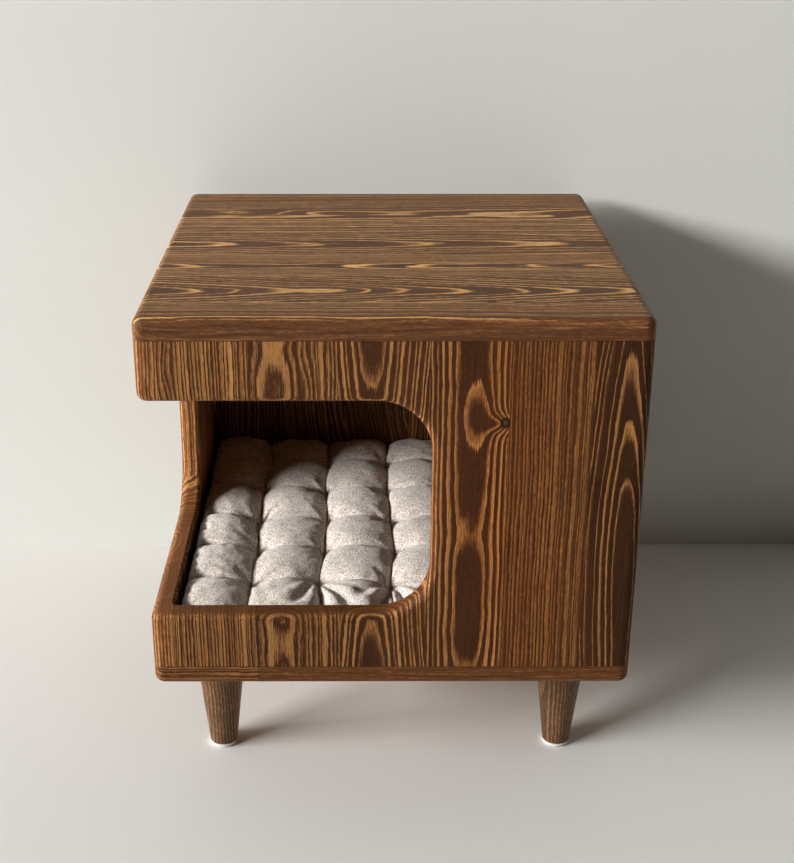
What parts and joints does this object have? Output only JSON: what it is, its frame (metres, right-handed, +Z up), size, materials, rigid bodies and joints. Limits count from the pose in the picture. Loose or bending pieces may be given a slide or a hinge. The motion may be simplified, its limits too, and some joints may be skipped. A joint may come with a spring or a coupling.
{
  "type": "dog bed with frame",
  "caption": "Square wooden pet house on tapered legs, with a rounded entrance cut round its front left corner and a loose tufted cushion inside.",
  "frame": {"origin": "on the floor under the middle of the cabinet, at the underside of the glides", "axes": "+X to the right seen from the front, +Y to the back, +Z up; the entrance wraps round the front left corner, which is at -X and -Y"},
  "size_m": [0.45, 0.45, 0.47],
  "materials": {
    "stained_pine": "brushed pine, dark walnut stain, satin oil",
    "leg_wood": "turned beech, stained brown, satin",
    "dowel_beech": "plain fluted beech",
    "glide_plastic": "white moulded plastic",
    "zinc_steel": "zinc plated",
    "linen": "greige linen melange, plain weave",
    "tuft_thread": "waxed upholstery thread",
    "fibre_fill": "loose polyester fibre"
  },
  "bodies": {
    "cabinet": {"top_panel": "stained_pine", "bottom_panel": "stained_pine", "left_panel": "stained_pine", "back_panel": "stained_pine", "right_panel": "stained_pine", "front_panel": "stained_pine", "dowels_top": "dowel_beech", "dowels_bottom": "dowel_beech", "dowels_front_left": "dowel_beech", "dowels_back_left": "dowel_beech", "dowels_back_right": "dowel_beech", "dowels_front_right": "dowel_beech", "leg_front_left": "leg_wood", "leg_front_right": "leg_wood", "leg_back_right": "leg_wood", "leg_back_left": "leg_wood", "hanger_bolt_front_left": "zinc_steel", "hanger_bolt_front_right": "zinc_steel", "hanger_bolt_back_right": "zinc_steel", "hanger_bolt_back_left": "zinc_steel", "insert_front_left": "zinc_steel", "insert_front_right": "zinc_steel", "insert_back_right": "zinc_steel", "insert_back_left": "zinc_steel", "glide_front_left": "glide_plastic", "glide_front_right": "glide_plastic", "glide_back_right": "glide_plastic", "glide_back_left": "glide_plastic", "glide_nail_front_left": "zinc_steel", "glide_nail_front_right": "zinc_steel", "glide_nail_back_right": "zinc_steel", "glide_nail_back_left": "zinc_steel"},
    "cushion": {"cushion_bottom_cover": "linen", "cushion_top_cover": "linen", "cushion_filling": "fibre_fill", "tufting_ties": "tuft_thread"}
  },
  "joints": [
    {"name": "cushion_lift", "type": "slide", "parent": "cabinet", "child": "cushion", "axis": [0, 0, 1], "range_m": [0, 0.2]}
  ]
}
